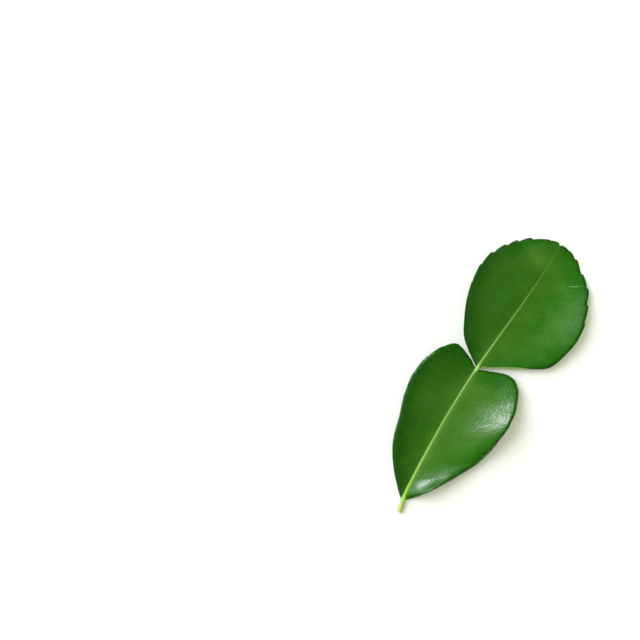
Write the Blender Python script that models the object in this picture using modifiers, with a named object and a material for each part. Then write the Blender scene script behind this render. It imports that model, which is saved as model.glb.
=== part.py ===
"""A kaffir lime leaf, picked and lying face up.

The leaf grew as one piece, so it is one solid: a short round stalk, a winged
petiole as broad as a leaf, a pinched joint, and the end blade with its scalloped
margin. One midrib runs through all of them and stands out underneath.

Metres, +Z up, +Y from the stalk to the tip. The leaf stands on z = 0, with its
box centred on the origin.
"""

import math

import bmesh
import bpy
from mathutils import Vector

MM = 0.001
LEAF_NAME = "kaffir_lime_leaf"

# Driving sizes
LAMINA_THICKNESS = 0.6 * MM
BLADE_TOOTH_DEPTH = 0.7 * MM
WING_TOOTH_DEPTH = 0.2 * MM
VEIN_SINK = 0.1 * MM
WING_ROWS_PER_VEIN = 4
BLADE_ROWS_PER_VEIN = 6
STALK_ROWS = 5
# Each lamina's first and last row stand this many veins from the next, because the
# outline there runs almost along the row.
END_STRIP = 0.5
FOOT_FLAT = 0.1 * MM
TABLE_PRESS = 0.02 * MM

# The midrib, from the stalk's cut end to the tip, in millimetres: distance along the
# leaf, sideways place, height of the lamina there, half width of the rib, and how
# far the rib stands above and below the lamina.
MIDRIB = (
    (0.0, 0.0, 1.0, 1.00, 0.70, 0.70),
    (3.2, -0.9, 1.0, 0.98, 0.68, 0.70),
    (6.6, -1.6, 1.4, 0.90, 0.45, 1.05),
    (20.0, -2.7, 2.0, 0.76, 0.32, 1.00),
    (42.0, -3.4, 2.1, 0.68, 0.28, 0.90),
    (63.0, -2.9, 2.0, 0.82, 0.38, 0.90),
    (76.0, -2.0, 1.6, 0.55, 0.22, 0.75),
    (92.0, -0.7, 1.4, 0.46, 0.18, 0.60),
    (110.0, 0.4, 1.0, 0.34, 0.12, 0.35),
    (120.0, 0.2, 0.6, 0.24, 0.05, 0.10),
)

# The main side veins of each lamina, in millimetres: where the vein leaves the
# midrib, then where it meets the left and the right margin (x, y, height). The
# first and the last one are the lamina's base and top edges.
WING_VEINS = (
    (4.9, (-5.2, 7.3, 3.2), (3.1, 8.7, 2.7)),
    (8.8, (-11.3, 13.9, 6.9), (7.5, 15.3, 4.3)),
    (14.8, (-16.6, 22.0, 8.5), (12.5, 24.2, 4.2)),
    (22.5, (-19.5, 31.4, 8.4), (16.7, 33.1, 3.8)),
    (31.5, (-22.4, 40.7, 8.0), (18.1, 42.6, 7.1)),
    (41.0, (-23.4, 49.5, 8.7), (18.4, 51.1, 8.1)),
    (50.0, (-22.1, 56.9, 9.6), (17.2, 58.1, 6.4)),
    (56.8, (-18.7, 63.3, 9.0), (14.1, 64.3, 4.4)),
    (60.4, (-14.1, 66.5, 6.4), (9.2, 66.4, 3.1)),
    (62.0, (-6.5, 64.1, 3.1), (2.3, 64.2, 2.4)),
)
BLADE_VEINS = (
    (63.2, (-9.5, 66.7, 4.6), (6.3, 67.8, 2.4)),
    (65.8, (-14.0, 70.2, 7.6), (14.1, 72.3, 2.9)),
    (70.0, (-17.7, 76.3, 9.6), (20.6, 76.9, 3.3)),
    (75.5, (-20.6, 82.8, 10.2), (23.3, 84.3, 4.1)),
    (82.5, (-22.5, 90.1, 10.1), (24.4, 92.1, 4.6)),
    (90.5, (-22.9, 97.3, 9.3), (23.4, 98.9, 4.5)),
    (98.0, (-21.2, 103.8, 6.8), (20.9, 105.4, 3.7)),
    (104.5, (-17.9, 109.2, 3.8), (17.7, 110.9, 2.8)),
    (110.0, (-14.6, 113.1, 1.1), (13.2, 114.7, 1.0)),
    (114.5, (-10.3, 116.6, 0.3), (8.3, 118.4, 0.35)),
    (118.0, (-3.8, 119.5, 0.4), (4.3, 119.7, 0.4)),
    (119.2, (-0.6, 120.1, 0.5), (1.1, 120.0, 0.5)),
)

# Where the grid's columns lie: shares of the rib's half width, then shares of the
# way from the rib's edge to the margin.
RIB_COLUMNS = (0.0, 0.45, 0.8, 1.0)
LAMINA_COLUMNS = (0.09, 0.25, 0.43, 0.6, 0.77, 0.91, 1.0)

# How each half rises from the midrib, left and right at each main vein: the share that
# is a straight fold, the power by which the rest curls up, then in millimetres the dip
# of the margin and the shoulder beside the midrib.
WING_RISES = (
    ((1.0, 2.0, 0.0, 0.0), (1.0, 2.0, 0.4, 0.0)),
    ((1.0, 2.0, 0.0, 0.4), (1.0, 2.0, 2.2, 0.1)),
    ((0.9, 2.0, 0.0, 0.6), (0.9, 2.0, 1.6, 0.2)),
    ((0.6, 2.2, 0.0, 0.3), (0.5, 2.4, 1.1, 0.4)),
    ((0.4, 2.2, 0.0, 0.0), (0.2, 2.2, 0.7, 0.5)),
    ((0.35, 2.2, 0.0, 0.0), (0.1, 1.9, 0.2, 0.5)),
    ((0.3, 2.2, 0.0, 0.2), (0.15, 2.0, 0.3, 0.4)),
    ((0.35, 2.2, 0.0, 0.2), (0.35, 2.2, 0.3, 0.3)),
    ((0.6, 2.0, 0.0, 0.0), (0.5, 2.2, 0.0, 0.0)),
    ((0.9, 2.0, 0.0, 0.0), (0.9, 2.0, 0.0, 0.0)),
)
BLADE_RISES = (
    ((0.65, 2.0, 0.0, 0.0), (0.9, 2.0, 0.0, 0.0)),
    ((0.5, 2.0, 0.0, 0.0), (0.6, 2.0, 0.0, -0.3)),
    ((0.4, 2.0, 0.0, 0.1), (0.4, 2.0, 0.1, -0.7)),
    ((0.45, 2.0, 0.0, 0.2), (0.3, 2.0, 0.2, -0.9)),
    ((0.5, 2.0, 0.0, 0.5), (0.25, 2.0, 0.1, -0.9)),
    ((0.55, 2.0, 0.0, 0.8), (0.25, 2.0, 0.0, -0.9)),
    ((0.5, 2.0, 0.0, 0.9), (0.25, 2.0, 0.0, -0.8)),
    ((0.45, 2.2, 0.0, 0.8), (0.25, 2.0, 0.0, -0.6)),
    ((0.4, 2.2, 0.0, 0.5), (0.35, 2.0, 0.0, -0.3)),
    ((0.4, 2.0, 0.0, 0.2), (0.4, 2.0, 0.0, -0.1)),
    ((0.7, 2.0, 0.0, 0.0), (0.7, 2.0, 0.0, 0.0)),
    ((1.0, 2.0, 0.0, 0.0), (1.0, 2.0, 0.0, 0.0)),
)
DIP_START = 0.7
SHOULDER_WIDTH = 3.0

# How far the side veins bow, how late a tooth has its crest, and how far in from the
# margin a notch is felt.
VEIN_BOW = 0.05
TOOTH_CREST = 0.9
NOTCH_REACH = 2.6

LEAF_GREEN = (0.026, 0.13, 0.008, 1.0)


def clear_scene():
    for obj in list(bpy.data.objects):
        bpy.data.objects.remove(obj, do_unlink=True)


def smooth(value):
    """An even step from 0 to 1."""
    share = min(max(value, 0.0), 1.0)
    return share * share * (3.0 - 2.0 * share)


def between(low, high, share):
    return low + (high - low) * share


def cubic(before, start, end, after, share):
    """A Catmull-Rom step from start to end, through evenly numbered points."""
    a = 2.0 * start
    b = (end - before) * share
    c = (2.0 * before - 5.0 * start + 4.0 * end - after) * share**2
    d = (3.0 * start - before - 3.0 * end + after) * share**3
    return 0.5 * (a + b + c + d)


def vein_between(veins, place):
    """The vein at a place between the numbered ones: (foot, left margin, right margin)."""
    step = min(int(place), len(veins) - 2)
    share = place - step
    near = [veins[min(max(step + i, 0), len(veins) - 1)] for i in (-1, 0, 1, 2)]
    foot = cubic(*(vein[0] for vein in near), share)
    margins = []
    for side in (1, 2):
        margins.append([cubic(*(vein[side][i] for vein in near), share) for i in range(3)])
    return foot, margins[0], margins[1]


def midrib_at(along):
    """The midrib's row at a distance along the leaf, by a smooth curve through MIDRIB."""
    step = 0
    while step < len(MIDRIB) - 2 and along > MIDRIB[step + 1][0]:
        step += 1
    share = (along - MIDRIB[step][0]) / (MIDRIB[step + 1][0] - MIDRIB[step][0])
    low, high = MIDRIB[step], MIDRIB[step + 1]
    before, after = MIDRIB[max(step - 1, 0)], MIDRIB[min(step + 2, len(MIDRIB) - 1)]
    span = high[0] - low[0]
    row = []
    for i in range(1, len(low)):
        slope_in = (high[i] - before[i]) / (high[0] - before[0])
        slope_out = (after[i] - low[i]) / (after[0] - low[0])
        ease = share**2 * (3.0 - 2.0 * share)
        bend_in = span * slope_in * share * (1.0 - share) ** 2
        bend_out = span * slope_out * share**2 * (share - 1.0)
        row.append(low[i] + (high[i] - low[i]) * ease + bend_in + bend_out)
    return row


def rises_between(rises, place):
    """The rises at a place between the numbered veins, left and right."""
    step = min(int(place), len(rises) - 2)
    share = smooth(place - step)
    found = []
    for side in (0, 1):
        pairs = zip(rises[step][side], rises[step + 1][side])
        found.append(tuple(between(low, high, share) for low, high in pairs))
    return tuple(found)


def tooth_notch(place):
    """How deep the margin is cut: each tooth swells towards the tip, then drops to its notch."""
    beyond = place - math.floor(place)
    if beyond > TOOTH_CREST:
        return smooth((beyond - TOOTH_CREST) / (1.0 - TOOTH_CREST))
    return (1.0 - beyond / TOOTH_CREST) ** 1.6


def rows_of(veins, rises, rows_per_vein, tooth_depth, first_tooth, last_tooth):
    """The grid's rows over one lamina: (foot, left, right, rises, notch, sink, bow)."""
    rows = []
    last = len(veins) - 1
    for number in range(last * rows_per_vein + 1):
        place = number / rows_per_vein
        if 0.0 < place < END_STRIP or last - END_STRIP < place < last < len(WING_VEINS):
            continue
        foot, left, right = vein_between(veins, place)
        fade = min(max((place - first_tooth) / 3.0, 0.0), 1.0) * min(max(last_tooth - place, 0.0), 1.0)
        notch = tooth_depth / MM * fade * tooth_notch(place)
        sink = VEIN_SINK / MM * (1.0 - abs(math.sin(math.pi * place)))
        bow = VEIN_BOW * min(max(place - 1.0, 0.0), last - place, 1.0)
        rows.append((foot, left, right, rises_between(rises, place), notch, sink, bow))
    return rows


def leaf_rows():
    """Every row from the stalk's cut end to the tip. A row with no lamina has no margins."""
    stalk_end = WING_VEINS[0][0]
    stalk = [(stalk_end * i / STALK_ROWS, None, None, None, 0.0, 0.0, 0.0) for i in range(STALK_ROWS)]
    wing = rows_of(WING_VEINS, WING_RISES, WING_ROWS_PER_VEIN, WING_TOOTH_DEPTH, 0.0, 8.0)
    blade = rows_of(BLADE_VEINS, BLADE_RISES, BLADE_ROWS_PER_VEIN, BLADE_TOOTH_DEPTH, 3.0, 11.0)
    return stalk + wing + blade


def rib_point(foot, offset):
    """A point on the midrib's strip, offset from -1 to 1 across it, and its thickness there."""
    x, z, half_width, above, below = midrib_at(foot)
    ahead, behind = midrib_at(foot + 0.5)[0], midrib_at(foot - 0.5)[0]
    across = Vector((1.0, behind - ahead, 0.0)).normalized()
    round_off = math.sqrt(1.0 - offset**2)
    point = Vector((x, foot, z)) + across * half_width * offset
    point.z += 0.5 * (above - below) * round_off
    return point, LAMINA_THICKNESS / MM + (above + below) * round_off


def lamina_point(foot, side, margin, rise, notch, share, sink, bow):
    """A point on the lamina, a share of the way from the rib's edge to the margin."""
    edge, thickness = rib_point(foot, side)
    end = Vector(margin)
    point = edge.lerp(end, share)
    reach = (end - edge).length
    bulge = 4.0 * share * (1.0 - share)
    point.y -= bow * reach * bulge
    fold, power, dip, shoulder = rise
    bank = shoulder * (1.0 - math.exp(-share * reach / SHOULDER_WIDTH))
    climb = (end.z + dip - shoulder - edge.z) * between(share**power, share, fold)
    fall = 2.0 * dip * smooth(0.5 * (share - DIP_START) / (1.0 - DIP_START))
    point.z = edge.z + bank + climb - fall - sink * bulge
    lying = (0.5 * LAMINA_THICKNESS + FOOT_FLAT - TABLE_PRESS) / MM
    point.z = max(point.z, lying)
    middle = Vector((midrib_at(foot)[0], foot - 6.0))
    inwards = (middle - end.xy).normalized() * notch * min(reach / NOTCH_REACH, 1.0)
    cut_share = smooth(1.0 - (1.0 - share) * reach / NOTCH_REACH)
    point.x += inwards.x * cut_share
    point.y += inwards.y * cut_share
    return point, thickness


def column_places():
    """The grid's columns from the left margin to the right: (side, rib share or lamina share)."""
    right = [("rib", share) for share in RIB_COLUMNS[1:]]
    right += [("lamina", share) for share in LAMINA_COLUMNS]
    left = [(-1, kind, share) for kind, share in reversed(right)]
    return left + [(0, "rib", 0.0)] + [(1, kind, share) for kind, share in right]


def lay_out(rows, columns):
    """The middle surface's points, row by row, with the thickness at each. None is off the leaf."""
    points = []
    for foot, left, right, rises, notch, sink, bow in rows:
        for side, kind, share in columns:
            margin = left if side < 0 else right
            if kind == "rib":
                points.append(rib_point(foot, side * share))
            elif margin is None:
                points.append(None)
            else:
                rise = rises[0 if side < 0 else 1]
                points.append(lamina_point(foot, side, margin, rise, notch, share, sink, bow))
    return points


def split_alike(mesh):
    """Cuts every quad before the sheet gets its thickness, so both faces are split alike."""
    bm = bmesh.new()
    bm.from_mesh(mesh)
    bmesh.ops.triangulate(bm, faces=bm.faces[:], quad_method="SHORT_EDGE")
    bmesh.ops.recalc_face_normals(bm, faces=bm.faces[:])
    if sum(face.normal.z for face in bm.faces) < 0.0:
        bmesh.ops.reverse_faces(bm, faces=bm.faces[:])
    bm.to_mesh(mesh)
    bm.free()


def cut_to_leaf(mesh, rows, points, columns):
    """Removes the grid's points beside the stalk and the faces across the pinched joint."""
    joint = 0.5 * (WING_VEINS[-1][0] + BLADE_VEINS[0][0])
    wing_top = max(number for number, row in enumerate(rows) if row[0] < joint)
    width = len(columns)
    bm = bmesh.new()
    bm.from_mesh(mesh)
    bm.verts.ensure_lookup_table()
    across_joint = []
    for face in bm.faces:
        rows_here = {vert.index // width for vert in face.verts}
        kinds = {columns[vert.index % width][1] for vert in face.verts}
        if rows_here == {wing_top, wing_top + 1} and "lamina" in kinds:
            across_joint.append(face)
    off_leaf = [vert for vert in bm.verts if points[vert.index] is None]
    bmesh.ops.delete(bm, geom=across_joint, context="FACES_ONLY")
    bmesh.ops.delete(bm, geom=off_leaf, context="VERTS")
    bm.to_mesh(mesh)
    bm.free()


def make_sheet(rows, columns):
    """The leaf as an open sheet: a grid whose rows follow the side veins."""
    bpy.ops.mesh.primitive_grid_add(
        x_subdivisions=len(columns) - 1, y_subdivisions=len(rows) - 1, size=2.0
    )
    sheet = bpy.context.active_object
    sheet.name = LEAF_NAME
    points = lay_out(rows, columns)
    thickest = max(entry[1] for entry in points if entry)
    thickness = sheet.vertex_groups.new(name="thickness")
    for vert, entry in zip(sheet.data.vertices, points, strict=True):
        if entry:
            vert.co = entry[0] * MM
            thickness.add([vert.index], entry[1] / thickest, "REPLACE")
    cut_to_leaf(sheet.data, rows, points, columns)
    split_alike(sheet.data)
    return sheet, thickest * MM


def thicken(sheet, thickest):
    """Gives the sheet its thickness, straight up and down, from point to point."""
    places = [vert.co.copy() for vert in sheet.data.vertices]
    halves = [0.5 * thickest * vert.groups[0].weight for vert in sheet.data.vertices]
    solidify = sheet.modifiers.new("thickness", "SOLIDIFY")
    solidify.thickness = thickest
    solidify.offset = 0.0
    solidify.use_even_offset = False
    graph = bpy.context.evaluated_depsgraph_get()
    solid = bpy.data.meshes.new_from_object(sheet.evaluated_get(graph))
    for number, vert in enumerate(solid.vertices):
        face_side = 1.0 if number < len(places) else -1.0
        number %= len(places)
        vert.co = places[number] + Vector((0.0, 0.0, face_side * halves[number]))
    sheet.modifiers.clear()
    sheet.data = solid
    return sheet


def set_down(leaf):
    """Rests the leaf on z = 0, with a small flat where it touches, and centres its box."""
    points = [vert.co for vert in leaf.data.vertices]
    lowest = min(point.z for point in points) + FOOT_FLAT
    middle_x = 0.5 * (min(point.x for point in points) + max(point.x for point in points))
    middle_y = 0.5 * (min(point.y for point in points) + max(point.y for point in points))
    for point in points:
        point.x -= middle_x
        point.y -= middle_y
        point.z = max(point.z - lowest, 0.0)


def leaf_material():
    material = bpy.data.materials.new("leaf_green")
    material.use_nodes = True
    surface = material.node_tree.nodes["Principled BSDF"]
    surface.inputs["Base Color"].default_value = LEAF_GREEN
    surface.inputs["Roughness"].default_value = 0.38
    surface.inputs["Metallic"].default_value = 0.0
    return material


def move_to_collection(obj, name):
    collection = bpy.data.collections.new(name)
    bpy.context.scene.collection.children.link(collection)
    for old in list(obj.users_collection):
        old.objects.unlink(obj)
    collection.objects.link(obj)


def main():
    clear_scene()
    rows = leaf_rows()
    columns = column_places()
    sheet, thickest = make_sheet(rows, columns)
    leaf = thicken(sheet, thickest)
    set_down(leaf)
    leaf.data.materials.clear()
    leaf.data.materials.append(leaf_material())
    leaf.data.shade_smooth()
    leaf.data.set_sharp_from_angle(angle=math.radians(35.0))
    move_to_collection(leaf, "kaffir_lime_leaf_parts")


main()
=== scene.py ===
"""The looks of a kaffir lime leaf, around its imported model.

One piece, lime_leaf, stands for the CAD node kaffir_lime_leaf. It is laid out as the
node is, as one sheet whose rows follow the side veins, but finer: a thin lamina with
rolled margins, veins in relief on both faces, and a round stalk with its cut end.

Leaf places are in millimetres from the stalk's cut end: x sideways, y to the tip, z up.
"""

import math
from dataclasses import dataclass

import bpy
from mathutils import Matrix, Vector, noise
from mathutils.kdtree import KDTree


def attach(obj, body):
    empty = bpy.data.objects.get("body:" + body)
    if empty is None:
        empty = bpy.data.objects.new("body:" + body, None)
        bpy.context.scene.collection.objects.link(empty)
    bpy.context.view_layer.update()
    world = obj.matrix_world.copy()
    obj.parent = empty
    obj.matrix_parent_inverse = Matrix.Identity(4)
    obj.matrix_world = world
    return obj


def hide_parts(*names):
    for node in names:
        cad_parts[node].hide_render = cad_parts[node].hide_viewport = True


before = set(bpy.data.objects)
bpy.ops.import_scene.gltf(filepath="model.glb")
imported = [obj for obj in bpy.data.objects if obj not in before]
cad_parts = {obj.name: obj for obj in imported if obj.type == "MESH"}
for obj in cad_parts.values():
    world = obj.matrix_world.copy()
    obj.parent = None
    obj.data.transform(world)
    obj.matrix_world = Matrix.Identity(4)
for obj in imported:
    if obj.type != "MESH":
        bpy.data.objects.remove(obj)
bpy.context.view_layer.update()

MM = 0.001
NODE_NAME = "kaffir_lime_leaf"
PIECE_NAME = "lime_leaf"

# The point of the leaf that lies at the row frame's origin.
LEAF_ORIGIN = Vector((0.5035, 59.9151, 0.0965))

# Thickness of the lamina and at its very rim, and how far in from there it thins.
LAMINA = 0.40
RIM = 0.20
RIM_WIDTH = 0.8

# The teeth: their depth, the first and the last vein that has one, over how many veins they
# grow to their full depth, where each one crests, how it swells to there, and how far in
# from the margin its notch reaches.
BLADE_TOOTH_DEPTH = 0.7
WING_TOOTH_DEPTH = 0.2
BLADE_TEETH = (3.0, 10.35)
WING_TEETH = (0.0, 8.0)
TOOTH_GROWTH = 3.0
TOOTH_CREST = 0.9
TOOTH_SWELL = 1.6
NOTCH_REACH = 2.6

# How far the lamina sinks along its main side veins.
VEIN_SINK = 0.1

# The midrib, from the stalk's cut end to the tip: distance along the leaf, sideways
# place, height of the lamina there, half width of the rib, and how far the rib stands
# above and below the lamina.
MIDRIB = (
    (0.0, 0.0, 1.06, 1.00, 0.80, 0.86),
    (3.2, -0.9, 1.06, 0.98, 0.78, 0.84),
    (6.6, -1.6, 1.45, 0.86, 0.44, 0.94),
    (20.0, -2.7, 2.0, 0.66, 0.22, 0.95),
    (42.0, -3.4, 2.1, 0.58, 0.19, 0.90),
    (63.0, -2.9, 2.0, 0.72, 0.30, 0.90),
    (76.0, -2.0, 1.6, 0.46, 0.13, 0.75),
    (92.0, -0.7, 1.4, 0.38, 0.07, 0.60),
    (110.0, 0.4, 1.0, 0.30, 0.03, 0.35),
    (120.0, 0.2, 0.6, 0.20, 0.01, 0.10),
)

# The main side veins of each lamina: where the vein leaves the midrib, then where it
# meets the left and the right margin (x, y, height). The first and the last one are
# the lamina's base and top edges.
WING_VEINS = (
    (4.9, (-5.2, 7.3, 3.2), (3.1, 8.7, 2.7)),
    (8.8, (-11.3, 13.9, 6.9), (7.5, 15.3, 4.3)),
    (14.8, (-16.6, 22.0, 8.5), (12.5, 24.2, 4.2)),
    (22.5, (-19.5, 31.4, 8.4), (16.7, 33.1, 3.8)),
    (31.5, (-22.4, 40.7, 8.0), (18.1, 42.6, 7.1)),
    (41.0, (-23.4, 49.5, 8.7), (18.4, 51.1, 8.1)),
    (50.0, (-22.1, 56.9, 9.6), (17.2, 58.1, 6.4)),
    (56.8, (-18.7, 63.3, 9.0), (14.1, 64.3, 4.4)),
    (60.4, (-14.1, 66.6, 6.4), (9.2, 66.4, 3.1)),
    (62.25, (-6.6, 64.25, 3.2), (2.3, 64.3, 2.4)),
)
BLADE_VEINS = (
    (63.0, (-9.5, 66.6, 4.6), (6.3, 67.8, 2.4)),
    (65.8, (-14.0, 70.2, 7.6), (14.1, 72.3, 2.9)),
    (70.0, (-17.7, 76.3, 9.6), (20.6, 76.9, 3.3)),
    (75.5, (-20.6, 82.8, 10.2), (23.3, 84.3, 4.1)),
    (82.5, (-22.5, 90.1, 10.1), (24.4, 92.1, 4.6)),
    (90.5, (-22.9, 97.3, 9.3), (23.4, 98.9, 4.5)),
    (98.0, (-21.2, 103.8, 6.8), (20.9, 105.4, 3.7)),
    (104.5, (-17.9, 109.2, 3.8), (17.7, 110.9, 2.8)),
    (110.0, (-14.6, 113.1, 1.1), (13.2, 114.7, 1.0)),
    (114.5, (-10.3, 116.6, 0.3), (8.3, 118.4, 0.35)),
    (118.0, (-3.8, 119.5, 0.4), (4.3, 119.7, 0.4)),
    (119.2, (-0.6, 120.1, 0.5), (1.1, 120.0, 0.5)),
)

# How each half rises from the midrib, left and right at each main vein: the share that
# is a straight fold, the power by which the rest curls up, the dip of the margin, and
# the shoulder beside the midrib.
WING_RISES = (
    ((1.0, 2.0, 0.0, 0.0), (1.0, 2.0, 0.4, 0.0)),
    ((1.0, 2.0, 0.0, 0.4), (1.0, 2.0, 2.2, 0.1)),
    ((0.9, 2.0, 0.0, 0.6), (0.9, 2.0, 1.6, 0.2)),
    ((0.6, 2.2, 0.0, 0.3), (0.5, 2.4, 1.1, 0.4)),
    ((0.4, 2.2, 0.0, 0.0), (0.2, 2.2, 0.7, 0.5)),
    ((0.35, 2.2, 0.0, 0.0), (0.1, 1.9, 0.2, 0.5)),
    ((0.3, 2.2, 0.0, 0.2), (0.15, 2.0, 0.3, 0.4)),
    ((0.35, 2.2, 0.0, 0.2), (0.35, 2.2, 0.3, 0.3)),
    ((0.6, 2.0, 0.0, 0.0), (0.5, 2.2, 0.0, 0.0)),
    ((0.9, 2.0, 0.0, 0.0), (0.9, 2.0, 0.0, 0.0)),
)
BLADE_RISES = (
    ((0.9, 2.0, 0.0, 0.0), (0.9, 2.0, 0.0, 0.0)),
    ((0.5, 2.0, 0.0, 0.0), (0.5, 2.0, 0.6, -0.3)),
    ((0.4, 2.0, 0.0, 0.1), (0.4, 2.0, 0.7, -0.7)),
    ((0.45, 2.0, 0.0, 0.2), (0.3, 2.0, 0.4, -0.9)),
    ((0.5, 2.0, 0.0, 0.5), (0.25, 2.0, 0.1, -0.9)),
    ((0.55, 2.0, 0.0, 0.8), (0.25, 2.0, 0.0, -0.9)),
    ((0.5, 2.0, 0.0, 0.9), (0.25, 2.0, 0.0, -0.8)),
    ((0.45, 2.2, 0.0, 0.8), (0.25, 2.0, 0.0, -0.6)),
    ((0.4, 2.2, 0.0, 0.5), (0.35, 2.0, 0.0, -0.3)),
    ((0.4, 2.0, 0.0, 0.2), (0.4, 2.0, 0.0, -0.1)),
    ((0.7, 2.0, 0.0, 0.0), (0.7, 2.0, 0.0, 0.0)),
    ((1.0, 2.0, 0.0, 0.0), (1.0, 2.0, 0.0, 0.0)),
)
DIP_START = 0.7
SHOULDER_WIDTH = 3.0

# How far the side veins bow, and how far they stray from their even course.
VEIN_BOW = 0.05
VEIN_STRAY = 0.45

# The margin's roll on the wing, left and right: its width, its drop and how late it
# bends. Then the share of it that the blade has, and the lamina's slow unevenness.
ROLLS = ((1.6, 0.9, 2.0), (1.2, 0.9, 1.5))
BLADE_ROLL = 0.6
UNEVEN_HEIGHT = 0.2
UNEVEN_LENGTH = 11.0

# The veins' relief above and below: the main ones, then the fine ones between them.
VEINS_PER_STEP = 3
MAIN_RIDGE = (0.009, 0.17)
FINE_RIDGE = (0.003, 0.075)
MAIN_HALF_WIDTH = (0.36, 0.2)
FINE_HALF_WIDTH = (0.22, 0.14)

# Olive patches on the upper face: place, radius and colour. The one near the tip is partly olive and
# partly painted sheen, lighter and greyer where the tip tilts towards the light. Then the scuff: its
# place, the way it runs in degrees, its half length and its half width.
OLIVE_AND_SHEEN_PATCHES = (
    ((-10.0, 46.0), 13.0, (0.048, 0.136, 0.0095, 1.0)),
    # Near the tip: olive with painted sheen on it.
    ((-7.0, 110.5), 8.0, (0.085, 0.170, 0.0230, 1.0)),
)
SCUFF = ((12.9, 108.5), 31.0, 2.1, 0.13)

# How strongly the midrib's colour runs out into the lamina, and how far. Then the stretch of
# the blade's midrib over which its colour fades, and the stretch where the stalk's ends.
HALO = 0.20
HALO_WIDTH = 1.9
RIB_FADE = (62.0, 112.0)
STALK_END = (3.5, 6.5)

# How far the midrib takes the joint's paler colour at the wing's base.
WING_RIB_PALE = 0.40

# The pinched joint between wing and blade.
JOINT_PLACE = 62.6
JOINT_ROWS = (62.36, 62.46, 62.55, 62.65, 62.76, 62.88)
JOINT_CREASE = 0.16
JOINT_CREASE_WIDTH = 0.14

# Where the wing, the joint and the blade start on the leaf's map, and the map's length. Then
# the stretch of the blade's lower right margin that is pale.
WING_MAP_START = 1.0
JOINT_MAP_START = 10.0
BLADE_MAP_START = 11.0
MAP_LENGTH = 22.0
PALE_STRETCH = (11.9, 12.3)

# The sheet's grid: rows along the stalk, how far from a lamina's base edge its next row
# stands, rows from one fine vein to the next, columns over the midrib, and columns over
# each half of the lamina, close together at the midrib and at the margin.
STALK_ROWS = 14
END_STRIP = 0.55
ROW_STEPS = (0.0, 0.045, 0.11, 0.22, 0.4, 0.6, 0.78, 0.89, 0.955)
RIB_COLUMNS = (0.0, 0.2, 0.4, 0.58, 0.74, 0.87, 0.96, 1.0)
NEAR_RIB = (0.14, 0.32, 0.56, 0.9, 1.4)
MIDDLE_COLUMNS = 12
NEAR_MARGIN = (1.5, 1.05, 0.72, 0.46, 0.26, 0.11, 0.0)
FULL_REACH = 6.0

# Where the sheet keeps the places of its upper and its under face, and the angle in degrees
# up to which its faces are shaded as one.
FACE_PLACES = ("upper_place", "under_place")
SMOOTH_ANGLE = 50.0

# The greens of the upper face, from the broad ones to the ones laid over them.
DARK_GREEN = (0.018, 0.106, 0.0022, 1.0)
LIGHT_GREEN = (0.030, 0.142, 0.0045, 1.0)
BLOTCH_GREEN = (0.050, 0.132, 0.0095, 1.0)
# Darker green towards the margin: partly the leaf's deeper green there, mostly painted shade where the
# halves turn away from the light.
MARGIN_SHADE_GREEN = (0.0055, 0.090, 0.0005, 1.0)
# Dark band at the very edge: painted shade of the margin rolled down away from the light, together with
# the dark outline the leaf has all round.
EDGE_SHADE_GREEN = (0.0050, 0.048, 0.0006, 1.0)
STREAK_GREEN = (0.032, 0.165, 0.0055, 1.0)
GLAND_GREEN = (0.050, 0.205, 0.0110, 1.0)
VEIN_GREEN = (0.055, 0.210, 0.014, 1.0)
RIB_GREEN = (0.140, 0.340, 0.020, 1.0)
JOINT_GREEN = (0.340, 0.660, 0.085, 1.0)
STALK_GREEN = (0.360, 0.480, 0.115, 1.0)
SCUFF_GREEN = (0.26, 0.42, 0.18, 1.0)
PALE_EDGE_GREEN = (0.30, 0.44, 0.12, 1.0)

# The floor's width, the direction in degrees that the lights stand in, and the camera's
# place, its turn in degrees, its lens and its sensor's width.
FLOOR_WIDTH = 12.0
LIGHT_DIRECTION = 172.0
CAMERA_PLACE = (-0.06453, -0.01254, 0.5808)
CAMERA_TURN = 31.02
CAMERA_LENS = 85.0
CAMERA_SENSOR = 36.0


@dataclass
class Row:
    """A row of the sheet: its foot on the midrib, and the margins where it has a lamina."""

    foot: float
    place: float = 0.0
    map_place: float = 0.0
    left: Vector = None
    right: Vector = None
    notch: float = 0.0
    sink: float = 0.0
    bow: float = 0.0
    ease: float = 0.0
    spacing: tuple = (1.0, 1.0, 1.0)
    rises: tuple = ()


@dataclass
class Spot:
    """A point of the sheet, with what the relief and the finish need to know there."""

    place: Vector
    above: float
    below: float
    rib: float = 0.0
    stalk: float = 0.0
    vein: float = 0.0
    across: float = 0.5
    along: float = 0.0
    from_rib: float = 0.0


def smooth(value, low=0.0, high=1.0):
    share = min(max((value - low) / (high - low), 0.0), 1.0)
    return share * share * (3.0 - 2.0 * share)


def between(low, high, share):
    return low + (high - low) * share


def cubic(before, start, end, after, share):
    """A Catmull-Rom step from start to end, through evenly numbered points."""
    a = 2.0 * start
    b = (end - before) * share
    c = (2.0 * before - 5.0 * start + 4.0 * end - after) * share**2
    d = (3.0 * start - before - 3.0 * end + after) * share**3
    return 0.5 * (a + b + c + d)


def vein_between(veins, place):
    """The vein at a place between the numbered ones: (foot, left margin, right margin)."""
    place = min(max(place, 0.0), len(veins) - 1.0)
    step = min(int(place), len(veins) - 2)
    share = place - step
    near = [veins[min(max(step + i, 0), len(veins) - 1)] for i in (-1, 0, 1, 2)]
    foot = cubic(*(vein[0] for vein in near), share)
    margins = []
    for side in (1, 2):
        margins.append(Vector([cubic(*(vein[side][i] for vein in near), share) for i in range(3)]))
    return foot, margins[0], margins[1]


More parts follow.
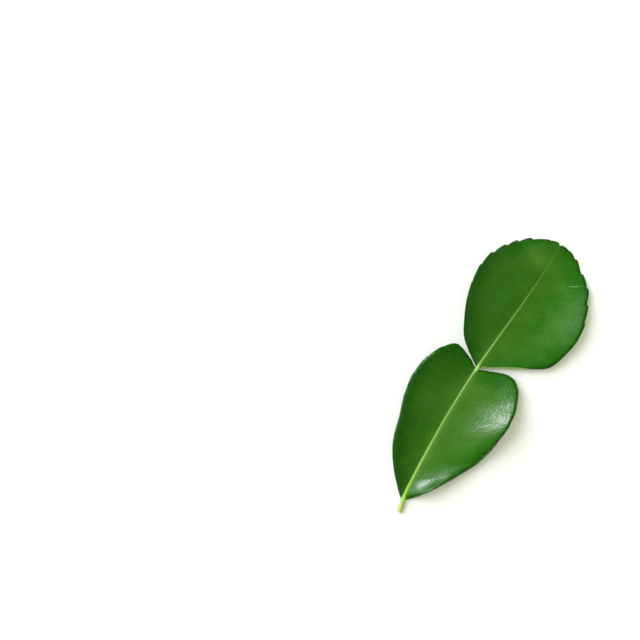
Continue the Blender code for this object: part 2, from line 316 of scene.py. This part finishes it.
def midrib_at(along):
    """The midrib's row at a distance along the leaf, by a smooth curve through MIDRIB."""
    step = 0
    while step < len(MIDRIB) - 2 and along > MIDRIB[step + 1][0]:
        step += 1
    share = (along - MIDRIB[step][0]) / (MIDRIB[step + 1][0] - MIDRIB[step][0])
    low, high = MIDRIB[step], MIDRIB[step + 1]
    before, after = MIDRIB[max(step - 1, 0)], MIDRIB[min(step + 2, len(MIDRIB) - 1)]
    span = high[0] - low[0]
    row = []
    for i in range(1, len(low)):
        slope_in = (high[i] - before[i]) / (high[0] - before[0])
        slope_out = (after[i] - low[i]) / (after[0] - low[0])
        ease = share**2 * (3.0 - 2.0 * share)
        bend_in = span * slope_in * share * (1.0 - share) ** 2
        bend_out = span * slope_out * share**2 * (share - 1.0)
        row.append(low[i] + (high[i] - low[i]) * ease + bend_in + bend_out)
    return row


def rises_between(rises, place):
    """The rises at a place between the numbered veins, left and right."""
    step = min(int(place), len(rises) - 2)
    share = smooth(place - step)
    found = []
    for side in (0, 1):
        pairs = zip(rises[step][side], rises[step + 1][side])
        found.append(tuple(between(low, high, share) for low, high in pairs))
    return tuple(found)


def tooth_notch(place):
    """How deep the margin is cut: each tooth swells towards the tip, then drops to its notch."""
    beyond = place - math.floor(place)
    if beyond > TOOTH_CREST:
        return smooth(beyond, TOOTH_CREST, 1.0)
    return (1.0 - beyond / TOOTH_CREST) ** TOOTH_SWELL


def lamina_rows(veins, rises, tooth_depth, teeth, map_start):
    """The rows over one lamina, close together at each vein and apart between veins."""
    last = len(veins) - 1
    first_tooth, last_tooth = teeth
    places = []
    for vein in range(last):
        for fine in range(VEINS_PER_STEP):
            places += [vein + (fine + step) / VEINS_PER_STEP for step in ROW_STEPS]
    places = [place for place in places if place == 0.0 or place >= END_STRIP]
    places.append(float(last))
    rows = []
    for place in places:
        foot, left, right = vein_between(veins, place)
        grown = min(max((place - first_tooth) / TOOTH_GROWTH, 0.0), 1.0)
        fade = grown * min(max(last_tooth - place, 0.0), 1.0)
        behind, ahead = vein_between(veins, place - 0.5), vein_between(veins, place + 0.5)
        spacing = (
            abs(ahead[0] - behind[0]),
            (ahead[1] - behind[1]).length,
            (ahead[2] - behind[2]).length,
        )
        rows.append(
            Row(
                foot,
                place,
                map_start + place,
                left,
                right,
                notch=tooth_depth * fade * tooth_notch(place),
                sink=VEIN_SINK * (1.0 - abs(math.sin(math.pi * place))),
                bow=VEIN_BOW * min(max(place - 1.0, 0.0), last - place, 1.0),
                ease=min(place, last - place, 1.0),
                spacing=spacing,
                rises=rises_between(rises, place),
            )
        )
    return rows


def leaf_rows():
    """Every row from the stalk's cut end to the tip."""
    wing_foot = WING_VEINS[0][0]
    stalk = [Row(wing_foot * i / STALK_ROWS, map_place=i / STALK_ROWS) for i in range(STALK_ROWS)]
    wing = lamina_rows(WING_VEINS, WING_RISES, WING_TOOTH_DEPTH, WING_TEETH, WING_MAP_START)
    joint = []
    for number, foot in enumerate(JOINT_ROWS):
        joint.append(Row(foot, map_place=JOINT_MAP_START + number / len(JOINT_ROWS)))
    blade = lamina_rows(BLADE_VEINS, BLADE_RISES, BLADE_TOOTH_DEPTH, BLADE_TEETH, BLADE_MAP_START)
    return stalk + wing + joint + blade


def rib_spot(row, offset):
    """A point on the midrib's strip, offset from -1 to 1 across it."""
    x, z, half_width, above, below = midrib_at(row.foot)
    ahead, behind = midrib_at(row.foot + 0.5)[0], midrib_at(row.foot - 0.5)[0]
    across = Vector((1.0, behind - ahead, 0.0)).normalized()
    point = Vector((x, row.foot, z)) + across * half_width * offset
    crease = JOINT_CREASE * math.exp(-(((row.foot - JOINT_PLACE) / JOINT_CREASE_WIDTH) ** 2))
    roundness = between(0.5, 2.0, smooth(row.foot, 3.5, 12.0))
    inside = max(1.0 - offset**2, 0.0)
    spot = Spot(point, (above - crease) * inside**roundness, (below - crease) * math.sqrt(inside))
    on_stalk = 1.0 - smooth(row.foot, *STALK_END)
    fading = between(1.0, 0.12, smooth(row.foot, *RIB_FADE))
    halo = HALO * smooth(row.ease) * between(1.0, 0.3, smooth(row.foot, *RIB_FADE))
    spot.rib = max(between(halo, 1.0, (1.0 - smooth(abs(offset), 0.5, 1.0)) * fading), on_stalk)
    at_joint = 0.75 * math.exp(-(((row.foot - JOINT_PLACE) / 1.5) ** 2))
    spot.stalk = max(on_stalk, at_joint, WING_RIB_PALE * (1.0 - smooth(row.foot, 8.0, 56.0)))
    spot.across = 0.5 + 0.02 * offset
    spot.along = row.map_place
    return spot


def column_share(number, reach):
    """How far a lamina column lies from the midrib's edge to the margin, 0 to 1."""
    scale = min(1.0, reach / FULL_REACH) / reach
    near = [distance * scale for distance in NEAR_RIB]
    far = [1.0 - distance * scale for distance in NEAR_MARGIN]
    if number < len(near):
        return near[number]
    number -= len(near)
    if number < MIDDLE_COLUMNS:
        return between(near[-1], far[0], (number + 1) / (MIDDLE_COLUMNS + 1))
    return far[number - MIDDLE_COLUMNS]


def vein_strengths(row, share, spacing):
    """How strongly the nearest main and the nearest fine vein show at a point."""
    strengths = []
    for count, widths in ((1, MAIN_HALF_WIDTH), (VEINS_PER_STEP, FINE_HALF_WIDTH)):
        away = abs(row.place * count - round(row.place * count)) / count * spacing
        half_width = min(between(widths[0], widths[1], share), 0.16 * spacing)
        strengths.append(math.exp(-((away / half_width) ** 2)))
    main, fine = strengths
    return main * (1.0 - smooth(share, 0.82, 1.0)), fine * (1.0 - smooth(share, 0.6, 0.95))


def lamina_spot(row, side, number):
    """A point on the lamina, in the column of that number from the midrib's edge out."""
    edge = rib_spot(row, side).place
    end = row.left if side < 0 else row.right
    reach = (end - edge).length
    share = column_share(number, reach)
    point = edge.lerp(end, share)
    bulge = 4.0 * share * (1.0 - share)
    stray = noise.noise(Vector((share * 2.4 + side * 5.0, row.map_place * 0.7, 0.0)))
    point.y -= row.bow * reach * bulge
    point.y += VEIN_STRAY * stray * row.ease * bulge
    fold, power, dip, shoulder = row.rises[0 if side < 0 else 1]
    bank = shoulder * (1.0 - math.exp(-share * reach / SHOULDER_WIDTH))
    rise = (end.z + dip - shoulder - edge.z) * between(share**power, share, fold)
    fall = 2.0 * dip * smooth(share, DIP_START, 2.0 - DIP_START)
    point.z = edge.z + bank + rise - fall - row.sink * bulge
    middle = Vector((midrib_at(row.foot)[0], row.foot - 6.0))
    inwards = (middle - end.xy).normalized() * row.notch * min(reach / NOTCH_REACH, 1.0)
    cut_share = smooth(1.0 - (1.0 - share) * reach / NOTCH_REACH)
    point.x += inwards.x * cut_share
    point.y += inwards.y * cut_share
    spacing = between(row.spacing[0], row.spacing[1 if side < 0 else 2], share)
    main, fine = vein_strengths(row, share, spacing)
    from_rib = share * reach
    leaves_rib = smooth(from_rib, 0.0, 0.7)
    above = (MAIN_RIDGE[0] * main + FINE_RIDGE[0] * fine) * leaves_rib * row.ease
    below = (MAIN_RIDGE[1] * main + FINE_RIDGE[1] * fine) * row.ease
    spot = Spot(point, above, below)
    spot.vein = max(main, 0.55 * fine) * row.ease
    halo = HALO * smooth(row.ease) * between(1.0, 0.3, smooth(row.foot, *RIB_FADE))
    spot.rib = halo * math.exp(-from_rib / HALO_WIDTH)
    spot.across = 0.5 + side * between(0.02, 0.5, share)
    spot.along = row.map_place
    spot.from_rib = from_rib
    return spot


def column_places():
    """The grid's columns from the left margin to the right: (side, kind, offset or number)."""
    right = [(1, "rib", offset) for offset in RIB_COLUMNS[1:]]
    lamina_count = len(NEAR_RIB) + MIDDLE_COLUMNS + len(NEAR_MARGIN)
    right += [(1, "lamina", number) for number in range(lamina_count)]
    left = [(-1, kind, which) for _, kind, which in reversed(right)]
    return left + [(0, "rib", 0.0)] + right


def lay_out(rows, columns):
    """The sheet's spots, row by row. None is off the leaf."""
    spots = []
    for row in rows:
        for side, kind, which in columns:
            if kind == "rib":
                spots.append(rib_spot(row, side * which))
            elif row.left is None:
                spots.append(None)
            else:
                spots.append(lamina_spot(row, side, which))
    return spots


def margin_tree(rows, columns, spots):
    """A search tree of points close together all along the laminae's margins."""
    width = len(columns)
    lines = []
    for start, end in stretches_with_lamina(rows):
        for column in (0, width - 1):
            lines.append([spots[number * width + column].place for number in range(start, end)])
        for number in (start, end - 1):
            for side in (-1, 1):
                kept = [c for c, (at, kind, _) in enumerate(columns) if at == side and kind == "lamina"]
                lines.append([spots[number * width + c].place for c in kept])
    points = []
    for line in lines:
        for start, end in zip(line, line[1:]):
            count = max(1, math.ceil((end - start).length / 0.1))
            points += [start.lerp(end, i / count) for i in range(count)]
        points.append(line[-1])
    tree = KDTree(len(points))
    for number, point in enumerate(points):
        tree.insert(point, number)
    tree.balance()
    return tree


def stretches_with_lamina(rows):
    """The runs of rows that have a lamina, each as (first, one past the last)."""
    runs = []
    for number, row in enumerate(rows):
        if row.left is None:
            continue
        if runs and runs[-1][1] == number:
            runs[-1][1] = number + 1
        else:
            runs.append([number, number + 1])
    return runs


def finish_form(spots, tree):
    """Adds the rolled margin, the unevenness and the thickness.

    Returns for each spot the place of the upper face, that of the underside, and the
    distance from the margin.
    """
    formed = []
    for spot in spots:
        if spot is None:
            formed.append(None)
            continue
        from_margin = tree.find(spot.place)[2]
        skin = between(RIM, LAMINA, smooth(from_margin, 0.0, RIM_WIDTH))
        middle = spot.place - LEAF_ORIGIN
        wave = noise.noise(Vector((spot.place.x / UNEVEN_LENGTH, spot.place.y / UNEVEN_LENGTH, 0.4)))
        middle.z += UNEVEN_HEIGHT * wave * smooth(spot.from_rib, 0.5, 7.0)
        width, drop, power = ROLLS[0 if spot.across < 0.5 else 1]
        roll = drop * max(1.0 - from_margin / width, 0.0) ** power
        if spot.along > BLADE_MAP_START - 0.5:
            roll *= BLADE_ROLL
        middle.z -= roll * smooth(spot.from_rib, 0.0, 2.5)
        middle.z = max(middle.z, 0.5 * skin + spot.below)
        upper = middle + Vector((0.0, 0.0, 0.5 * skin + spot.above))
        under = middle - Vector((0.0, 0.0, 0.5 * skin + spot.below))
        formed.append((upper, under, from_margin))
    return formed


def pale_edge(spot, from_margin):
    """How pale the lower right margin of the blade is at a point."""
    if spot.across < 0.5 or spot.along < BLADE_MAP_START:
        return 0.0
    along = 1.0 - smooth(spot.along, *PALE_STRETCH)
    return along * (1.0 - smooth(from_margin, 0.35, 0.9)) * smooth(spot.from_rib, 0.0, 1.0)


def grid_sheet(rows, columns, spots, formed):
    """The leaf as an open sheet. Its places and its finish are kept as attributes."""
    bpy.ops.object.select_all(action="DESELECT")
    bpy.ops.mesh.primitive_grid_add(
        x_subdivisions=len(columns) - 1, y_subdivisions=len(rows) - 1, size=0.12
    )
    sheet = bpy.context.active_object
    sheet.name = PIECE_NAME
    mesh = sheet.data
    mesh.name = PIECE_NAME
    for name in FACE_PLACES:
        mesh.attributes.new(name, "FLOAT_VECTOR", "POINT")
    for name in ("rib", "stalk", "vein", "margin", "pale"):
        mesh.attributes.new(name, "FLOAT", "POINT")
    for vert, spot, entry in zip(mesh.vertices, spots, formed, strict=True):
        vert.select = entry is None
        if entry is None:
            continue
        upper, under, from_margin = entry
        vert.co = upper * MM
        mesh.attributes["upper_place"].data[vert.index].vector = upper * MM
        mesh.attributes["under_place"].data[vert.index].vector = under * MM
        mesh.attributes["rib"].data[vert.index].value = spot.rib
        mesh.attributes["stalk"].data[vert.index].value = spot.stalk
        mesh.attributes["vein"].data[vert.index].value = spot.vein
        mesh.attributes["margin"].data[vert.index].value = from_margin
        mesh.attributes["pale"].data[vert.index].value = pale_edge(spot, from_margin)
    leaf_map = mesh.uv_layers[0]
    leaf_map.name = "leaf_map"
    for loop in mesh.loops:
        spot = spots[loop.vertex_index]
        if spot is not None:
            leaf_map.data[loop.index].uv = (spot.across, spot.along / MAP_LENGTH)
    return sheet


def cut_off_leaf(sheet):
    """Deletes the selected corners of the grid, which lie beside the stalk and the joint."""
    chosen = [vert.index for vert in sheet.data.vertices if vert.select]
    bpy.ops.object.mode_set(mode="EDIT")
    bpy.ops.mesh.select_mode(type="VERT")
    bpy.ops.mesh.select_all(action="DESELECT")
    bpy.ops.object.mode_set(mode="OBJECT")
    for index in chosen:
        sheet.data.vertices[index].select = True
    bpy.ops.object.mode_set(mode="EDIT")
    bpy.ops.mesh.delete(type="VERT")
    bpy.ops.object.mode_set(mode="OBJECT")


def thicken(sheet):
    """Gives the sheet its two faces. The underside and the rim take their own materials."""
    count = len(sheet.data.vertices)
    solidify = sheet.modifiers.new("thickness", "SOLIDIFY")
    solidify.thickness = RIM * MM
    solidify.offset = 0.0
    solidify.use_even_offset = False
    solidify.material_offset = 1
    solidify.material_offset_rim = 2
    bpy.ops.object.modifier_apply(modifier=solidify.name)
    mesh = sheet.data
    for vert in mesh.vertices:
        name = FACE_PLACES[0 if vert.index < count else 1]
        vert.co = mesh.attributes[name].data[vert.index].vector
    for name in FACE_PLACES:
        mesh.attributes.remove(mesh.attributes[name])


def finish_cut_end(leaf):
    """Gives the stalk's cut face its own material."""
    cut_y = (0.15 - LEAF_ORIGIN.y) * MM
    for face in leaf.data.polygons:
        if face.center.y < cut_y and abs(face.normal.y) > 0.7:
            face.material_index = 3


def put(tree, kind, inputs=None, **settings):
    """A node of that kind. An input is given a value, or an output to be linked to."""
    made = tree.nodes.new(kind)
    for name, value in settings.items():
        setattr(made, name, value)
    for socket, value in (inputs or {}).items():
        if isinstance(value, bpy.types.NodeSocket):
            tree.links.new(value, made.inputs[socket])
        else:
            made.inputs[socket].default_value = value
    return made


def maths(tree, operation, first, second=0.0):
    made = put(tree, "ShaderNodeMath", {0: first, 1: second}, operation=operation)
    return made.outputs[0]


def mixed(tree, share, first, second):
    """A colour a share of the way from the first to the second."""
    made = put(tree, "ShaderNodeMix", {0: share, 6: first, 7: second}, data_type="RGBA")
    return made.outputs[2]


def ranged(tree, value, low, high, to_low=0.0, to_high=1.0):
    """The value's range from low to high, eased onto the range from to_low to to_high."""
    inputs = {0: value, 1: low, 2: high, 3: to_low, 4: to_high}
    made = put(tree, "ShaderNodeMapRange", inputs, interpolation_type="SMOOTHSTEP")
    return made.outputs[0]


def scaled(tree, vector, scale):
    return put(tree, "ShaderNodeVectorMath", {0: vector, 1: scale}, operation="MULTIPLY").outputs[0]


def leaf_grain_group():
    """The grain of a citrus leaf: oil glands, the fine net of veins, streaks and mottling."""
    group = bpy.data.node_groups.new("leaf_grain", "ShaderNodeTree")
    for name in ("Place", "Leaf Map"):
        group.interface.new_socket(name, in_out="INPUT", socket_type="NodeSocketVector")
    for name in ("Gland Height", "Net Height", "Streak Height", "Fleck Height", "Pit Height"):
        group.interface.new_socket(name, in_out="INPUT", socket_type="NodeSocketFloat")
    for name in ("Height", "Gland", "Net", "Streak", "Mottle", "Blotch"):
        group.interface.new_socket(name, in_out="OUTPUT", socket_type="NodeSocketFloat")
    inside = put(group, "NodeGroupInput").outputs
    outside = put(group, "NodeGroupOutput")

    glands = put(group, "ShaderNodeTexVoronoi", {"Vector": inside["Place"], "Scale": 1250.0})
    gland = ranged(group, glands.outputs["Distance"], 0.1, 0.62, 1.0, 0.0)
    bend = put(group, "ShaderNodeTexNoise", {"Vector": inside["Place"], "Scale": 300.0, "Detail": 1.0})
    bent = put(
        group,
        "ShaderNodeVectorMath",
        {0: bend.outputs["Color"], 1: (0.0011, 0.0011, 0.0011), 2: inside["Place"]},
        operation="MULTIPLY_ADD",
    )
    cells = put(
        group,
        "ShaderNodeTexVoronoi",
        {"Vector": bent.outputs[0], "Scale": 520.0},
        feature="DISTANCE_TO_EDGE",
    )
    net = ranged(group, cells.outputs["Distance"], 0.0, 0.16, 1.0, 0.0)
    streaks = put(
        group,
        "ShaderNodeTexNoise",
        {"Vector": scaled(group, inside["Leaf Map"], (9.0, 104.0, 0.0)), "Scale": 1.0, "Detail": 2.0},
    )
    mottle = put(group, "ShaderNodeTexNoise", {"Vector": inside["Place"], "Scale": 95.0, "Detail": 3.0})

    flecks = put(group, "ShaderNodeTexNoise", {"Vector": inside["Place"], "Scale": 880.0, "Detail": 1.0})
    fleck_height = maths(group, "MULTIPLY", flecks.outputs["Fac"], inside["Fleck Height"])
    pits = put(group, "ShaderNodeTexNoise", {"Vector": inside["Place"], "Scale": 2600.0, "Detail": 0.0})
    pit_height = maths(group, "MULTIPLY", pits.outputs["Fac"], inside["Pit Height"])
    height = maths(group, "MULTIPLY", gland, inside["Gland Height"])
    height = maths(group, "ADD", maths(group, "ADD", height, fleck_height), pit_height)
    net_height = maths(group, "MULTIPLY", net, inside["Net Height"])
    streak_height = maths(group, "MULTIPLY", streaks.outputs["Fac"], inside["Streak Height"])
    height = maths(group, "ADD", maths(group, "ADD", height, net_height), streak_height)
    blotch = put(group, "ShaderNodeTexNoise", {"Vector": inside["Place"], "Scale": 62.0, "Detail": 2.0})
    results = {
        "Height": height,
        "Gland": gland,
        "Net": net,
        "Streak": ranged(group, streaks.outputs["Fac"], 0.3, 0.7),
        "Mottle": ranged(group, mottle.outputs["Fac"], 0.32, 0.68),
        "Blotch": ranged(group, blotch.outputs["Fac"], 0.42, 0.66),
    }
    for name, output in results.items():
        group.links.new(output, outside.inputs[name])
    return group


def new_material(name):
    material = bpy.data.materials.new(name)
    material.use_nodes = True
    return material, material.node_tree, material.node_tree.nodes["Principled BSDF"]


def grain_in(tree, group, gland, net, streak, fleck=0.0, pit=0.0):
    """The grain group placed in a material, on the leaf's own place and map."""
    place = put(tree, "ShaderNodeTexCoord").outputs["Object"]
    leaf_map = put(tree, "ShaderNodeUVMap", uv_map="leaf_map").outputs["UV"]
    inputs = {
        "Place": place,
        "Leaf Map": leaf_map,
        "Gland Height": gland,
        "Net Height": net,
        "Streak Height": streak,
        "Fleck Height": fleck,
        "Pit Height": pit,
    }
    grain = tree.nodes.new("ShaderNodeGroup")
    grain.node_tree = group
    for socket, value in inputs.items():
        if isinstance(value, bpy.types.NodeSocket):
            tree.links.new(value, grain.inputs[socket])
        else:
            grain.inputs[socket].default_value = value
    return grain.outputs


def mask_in(tree, name):
    return put(tree, "ShaderNodeAttribute", attribute_name=name).outputs["Fac"]


def on_leaf(x, y):
    """A point of the leaf in metres, in the piece's own frame."""
    return ((x - LEAF_ORIGIN.x) * MM, (y - LEAF_ORIGIN.y) * MM, 0.0)


def distance_in(tree, centre):
    """How far, seen from above, a point lies from a place on the leaf."""
    place = scaled(tree, put(tree, "ShaderNodeTexCoord").outputs["Object"], (1.0, 1.0, 0.0))
    apart = put(tree, "ShaderNodeVectorMath", {0: place, 1: on_leaf(*centre)}, operation="DISTANCE")
    return apart.outputs["Value"]


def scuff_in(tree):
    """The mask of a short, fine scuff on the blade."""
    place = put(tree, "ShaderNodeTexCoord").outputs["Object"]
    centre, turn, half_length, half_width = SCUFF
    apart = put(tree, "ShaderNodeVectorMath", {0: place, 1: on_leaf(*centre)}, operation="SUBTRACT")
    masks = []
    along = (turn, 0.5 * half_length, half_length)
    across = (turn + 90.0, 0.4 * half_width, half_width)
    for angle, low, high in (along, across):
        heading = (math.cos(math.radians(angle)), math.sin(math.radians(angle)), 0.0)
        inputs = {0: apart.outputs[0], 1: heading}
        dot = put(tree, "ShaderNodeVectorMath", inputs, operation="DOT_PRODUCT")
        off = maths(tree, "ABSOLUTE", dot.outputs["Value"])
        masks.append(ranged(tree, off, low * MM, high * MM, 1.0, 0.0))
    return maths(tree, "MULTIPLY", masks[0], masks[1])


def bump_in(tree, height):
    """A bump whose height is in millimetres."""
    return put(tree, "ShaderNodeBump", {"Height": height, "Distance": MM, "Strength": 1.0}).outputs[0]


def upper_material(group):
    """The glossy upper face, with its yellow-green midrib, painted shade along its margins and a patch
    of painted sheen near the tip.
    """
    material, tree, surface = new_material("leaf_upper")
    grain = grain_in(tree, group, 0.016, 0.008, 0.010, 0.040, 0.024)
    colour = mixed(tree, grain["Mottle"], DARK_GREEN, LIGHT_GREEN)
    colour = mixed(tree, maths(tree, "MULTIPLY", grain["Blotch"], 0.4), colour, BLOTCH_GREEN)
    # The olive patches; the one near the tip also carries painted sheen.
    for centre, radius, patch_green in OLIVE_AND_SHEEN_PATCHES:
        patch = ranged(tree, distance_in(tree, centre), 0.2 * radius * MM, radius * MM, 0.6, 0.0)
        patch = maths(tree, "MULTIPLY", patch, ranged(tree, grain["Mottle"], 0.0, 1.0, 0.5, 1.0))
        colour = mixed(tree, patch, colour, patch_green)
    # Painted shade: the upper face darkens over the last 8 mm towards the margin, partly the leaf's own
    # deeper green.
    margin_shade = ranged(tree, mask_in(tree, "margin"), 0.5, 8.0, 1.0, 0.0)
    margin_shade = maths(tree, "MULTIPLY", margin_shade, ranged(tree, grain["Mottle"], 0.0, 1.0, 1.0, 0.7))
    colour = mixed(tree, margin_shade, colour, MARGIN_SHADE_GREEN)
    # Painted shade: a dark band within 1.5 mm of the edge where the rolled margin turns from the light,
    # with the leaf's own dark outline.
    edge = maths(tree, "MULTIPLY", ranged(tree, mask_in(tree, "margin"), 0.3, 1.5, 1.0, 0.0), 0.85)
    colour = mixed(tree, edge, colour, EDGE_SHADE_GREEN)
    colour = mixed(tree, maths(tree, "MULTIPLY", grain["Streak"], 0.3), colour, STREAK_GREEN)
    colour = mixed(tree, maths(tree, "MULTIPLY", grain["Gland"], 0.12), colour, GLAND_GREEN)
    colour = mixed(tree, maths(tree, "MULTIPLY", mask_in(tree, "vein"), 0.09), colour, VEIN_GREEN)
    stalk = mask_in(tree, "stalk")
    joint = ranged(tree, stalk, 0.0, 0.75)
    rib_colour = mixed(tree, joint, RIB_GREEN, JOINT_GREEN)
    rib_colour = mixed(tree, ranged(tree, stalk, 0.75, 1.0), rib_colour, STALK_GREEN)
    colour = mixed(tree, mask_in(tree, "rib"), colour, rib_colour)
    colour = mixed(tree, scuff_in(tree), colour, SCUFF_GREEN)
    colour = mixed(tree, mask_in(tree, "pale"), colour, PALE_EDGE_GREEN)
    tree.links.new(colour, surface.inputs["Base Color"])
    roughness = ranged(tree, grain["Mottle"], 0.0, 1.0, 0.23, 0.28)
    roughness = maths(tree, "ADD", roughness, ranged(tree, mask_in(tree, "rib"), 0.02, 0.4, 0.0, 0.28))
    tree.links.new(roughness, surface.inputs["Roughness"])
    tree.links.new(bump_in(tree, grain["Height"]), surface.inputs["Normal"])
    surface.inputs["Specular IOR Level"].default_value = 0.38
    return material


def under_material(group):
    """The paler, duller underside."""
    material, tree, surface = new_material("leaf_under")
    grain = grain_in(tree, group, 0.010, 0.030, 0.01)
    colour = mixed(tree, grain["Mottle"], (0.110, 0.235, 0.045, 1.0), (0.145, 0.290, 0.060, 1.0))
    colour = mixed(tree, maths(tree, "MULTIPLY", grain["Net"], 0.3), colour, (0.20, 0.36, 0.085, 1.0))
    vein = maths(tree, "MULTIPLY", mask_in(tree, "vein"), 0.6)
    colour = mixed(tree, vein, colour, (0.24, 0.40, 0.095, 1.0))
    colour = mixed(tree, mask_in(tree, "rib"), colour, (0.36, 0.50, 0.11, 1.0))
    tree.links.new(colour, surface.inputs["Base Color"])
    tree.links.new(ranged(tree, grain["Mottle"], 0.0, 1.0, 0.52, 0.62), surface.inputs["Roughness"])
    tree.links.new(bump_in(tree, grain["Height"]), surface.inputs["Normal"])
    return material


def rim_material(group):
    """The thin pale rim."""
    material, tree, surface = new_material("leaf_rim")
    grain = grain_in(tree, group, 0.0, 0.0, 0.02)
    colour = mixed(tree, grain["Mottle"], (0.17, 0.33, 0.05, 1.0), (0.26, 0.42, 0.08, 1.0))
    tree.links.new(colour, surface.inputs["Base Color"])
    tree.links.new(bump_in(tree, grain["Height"]), surface.inputs["Normal"])
    surface.inputs["Roughness"].default_value = 0.42
    return material


def cut_material(group):
    """The stalk's cut end, a little dried."""
    material, tree, surface = new_material("stalk_cut")
    grain = grain_in(tree, group, 0.03, 0.02, 0.0)
    colour = mixed(tree, grain["Mottle"], (0.36, 0.42, 0.16, 1.0), (0.30, 0.30, 0.12, 1.0))
    tree.links.new(colour, surface.inputs["Base Color"])
    tree.links.new(bump_in(tree, grain["Height"]), surface.inputs["Normal"])
    surface.inputs["Roughness"].default_value = 0.7
    return material


def make_leaf():
    rows = leaf_rows()
    columns = column_places()
    spots = lay_out(rows, columns)
    formed = finish_form(spots, margin_tree(rows, columns, spots))
    leaf = grid_sheet(rows, columns, spots, formed)
    cut_off_leaf(leaf)
    group = leaf_grain_group()
    for make in (upper_material, under_material, rim_material, cut_material):
        leaf.data.materials.append(make(group))
    thicken(leaf)
    finish_cut_end(leaf)
    bpy.ops.object.shade_smooth_by_angle(angle=math.radians(SMOOTH_ANGLE))
    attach(leaf, "root")
    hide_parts(NODE_NAME)


def make_floor():
    bpy.ops.object.select_all(action="DESELECT")
    bpy.ops.mesh.primitive_plane_add(size=FLOOR_WIDTH)
    floor = bpy.context.active_object
    floor.name = "floor"
    material, _, surface = new_material("floor_white")
    surface.inputs["Base Color"].default_value = (0.86, 0.86, 0.865, 1.0)
    surface.inputs["Roughness"].default_value = 0.8
    surface.inputs["Specular IOR Level"].default_value = 0.2
    floor.data.materials.append(material)


def make_light(name, kind, direction, elevation, distance, energy, colour):
    """A light that looks at the leaf from that compass direction and elevation."""
    turn, rise = math.radians(direction), math.radians(elevation)
    towards = Vector((math.cos(turn) * math.cos(rise), math.sin(turn) * math.cos(rise), math.sin(rise)))
    rotation = towards.to_track_quat("Z", "Y").to_euler()
    bpy.ops.object.light_add(type=kind, location=towards * distance, rotation=rotation)
    light = bpy.context.active_object
    light.name = name
    light.data.energy = energy
    light.data.color = colour
    return light


def make_lights():
    """A window's gloss, the light from its side, and the light of the room."""
    gloss = make_light("gloss", "AREA", LIGHT_DIRECTION, 46.0, 1.4, 18.5, (1.0, 1.0, 1.02))
    gloss.data.shape = "SQUARE"
    gloss.data.size = 0.42
    gloss.visible_diffuse = False
    side = make_light("side", "SUN", LIGHT_DIRECTION, 30.0, 2.0, 3.55, (1.0, 1.0, 1.20))
    side.data.angle = math.radians(66.0)
    above = make_light("above", "SUN", LIGHT_DIRECTION, 82.0, 2.0, 2.35, (1.0, 1.02, 0.75))
    above.data.angle = math.radians(150.0)
    for light in (side, above):
        light.visible_glossy = False


def make_world():
    """White behind the floor, and only a dim light from it."""
    world = bpy.data.worlds.new("studio")
    bpy.context.scene.world = world
    world.use_nodes = True
    tree = world.node_tree
    tree.nodes.clear()
    seen = put(tree, "ShaderNodeLightPath").outputs["Is Camera Ray"]
    dim = put(tree, "ShaderNodeBackground", {"Color": (1.0, 1.0, 1.0, 1.0), "Strength": 0.05})
    white = put(tree, "ShaderNodeBackground", {"Color": (1.0, 1.0, 1.0, 1.0), "Strength": 1.0})
    both = put(tree, "ShaderNodeMixShader", {0: seen, 1: dim.outputs[0], 2: white.outputs[0]})
    put(tree, "ShaderNodeOutputWorld", {"Surface": both.outputs[0]})


def make_camera():
    """The camera looks straight down, and the leaf lies turned in its view."""
    bpy.ops.object.camera_add(
        location=CAMERA_PLACE, rotation=(0.0, 0.0, math.radians(CAMERA_TURN))
    )
    camera = bpy.context.active_object
    camera.data.lens = CAMERA_LENS
    camera.data.sensor_width = CAMERA_SENSOR
    bpy.context.scene.camera = camera


make_camera()
make_leaf()
make_floor()
make_lights()
make_world()
bpy.context.scene.view_settings.view_transform = "Standard"
